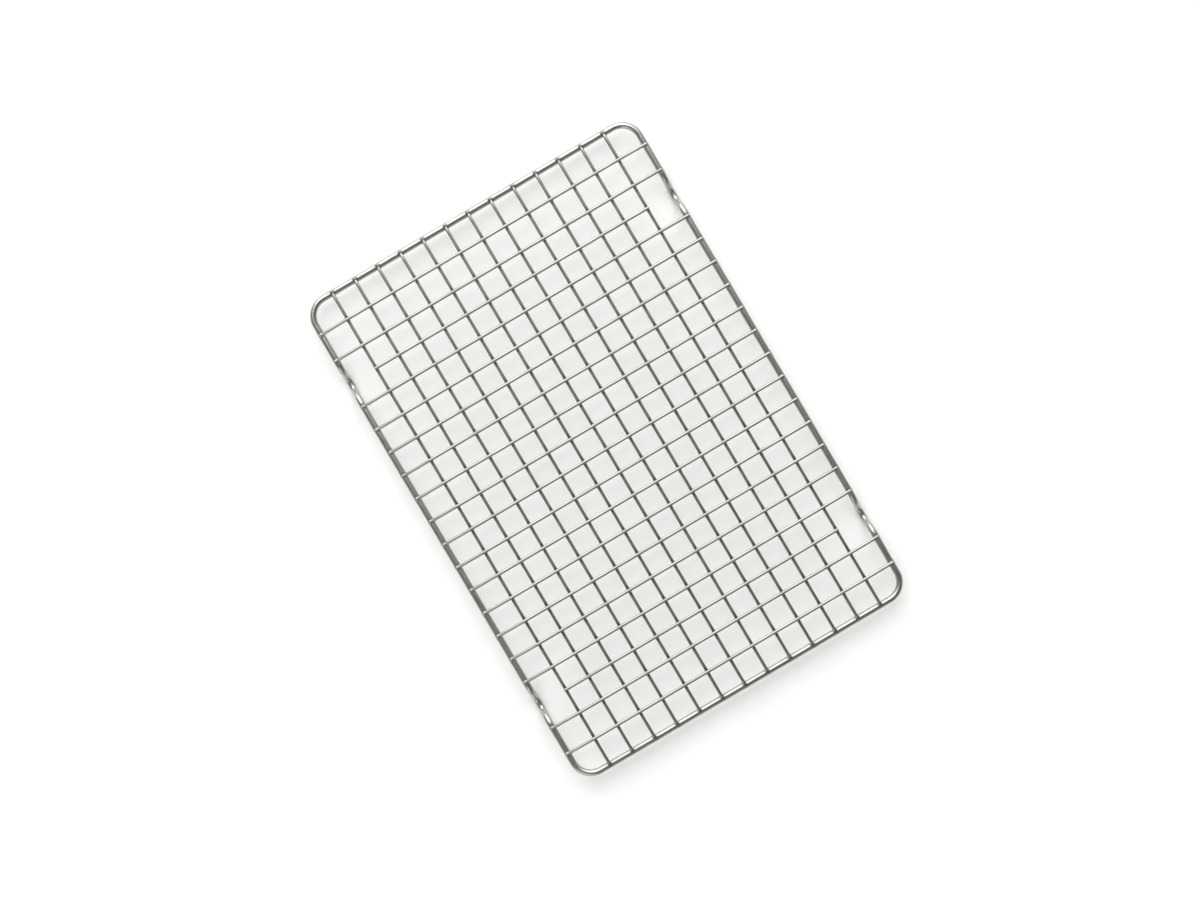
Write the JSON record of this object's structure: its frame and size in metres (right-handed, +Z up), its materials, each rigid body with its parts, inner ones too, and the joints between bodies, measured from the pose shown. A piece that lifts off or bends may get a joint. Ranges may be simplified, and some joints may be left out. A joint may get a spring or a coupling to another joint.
{
  "type": "cooling rack",
  "caption": "Wire cooling rack: a welded grid of thin wires on a thick rounded-rectangle frame wire whose long sides dip into bent feet.",
  "frame": {"origin": "centre of the rack on the surface that its feet stand on", "axes": "+X along the rack, +Y across it, +Z up"},
  "size_m": [0.297, 0.205, 0.0145],
  "materials": {
    "frame_steel": "drawn stainless wire, satin, faint lengthwise draw lines",
    "lengthwise_steel": "drawn stainless wire, satin, slightly duller than the cross wires",
    "cross_steel": "drawn stainless wire, satin, brightest along its crown"
  },
  "bodies": {
    "root": {"frame_wire": "frame_steel", "lengthwise_wire_01": "lengthwise_steel", "lengthwise_wire_02": "lengthwise_steel", "lengthwise_wire_03": "lengthwise_steel", "lengthwise_wire_04": "lengthwise_steel", "lengthwise_wire_05": "lengthwise_steel", "lengthwise_wire_06": "lengthwise_steel", "lengthwise_wire_07": "lengthwise_steel", "lengthwise_wire_08": "lengthwise_steel", "lengthwise_wire_09": "lengthwise_steel", "lengthwise_wire_10": "lengthwise_steel", "lengthwise_wire_11": "lengthwise_steel", "lengthwise_wire_12": "lengthwise_steel", "lengthwise_wire_13": "lengthwise_steel", "cross_wire_01": "cross_steel", "cross_wire_02": "cross_steel", "cross_wire_03": "cross_steel", "cross_wire_04": "cross_steel", "cross_wire_05": "cross_steel", "cross_wire_06": "cross_steel", "cross_wire_07": "cross_steel", "cross_wire_08": "cross_steel", "cross_wire_09": "cross_steel", "cross_wire_10": "cross_steel", "cross_wire_11": "cross_steel", "cross_wire_12": "cross_steel", "cross_wire_13": "cross_steel", "cross_wire_14": "cross_steel", "cross_wire_15": "cross_steel", "cross_wire_16": "cross_steel", "cross_wire_17": "cross_steel", "cross_wire_18": "cross_steel", "cross_wire_19": "cross_steel"}
  },
  "joints": []
}
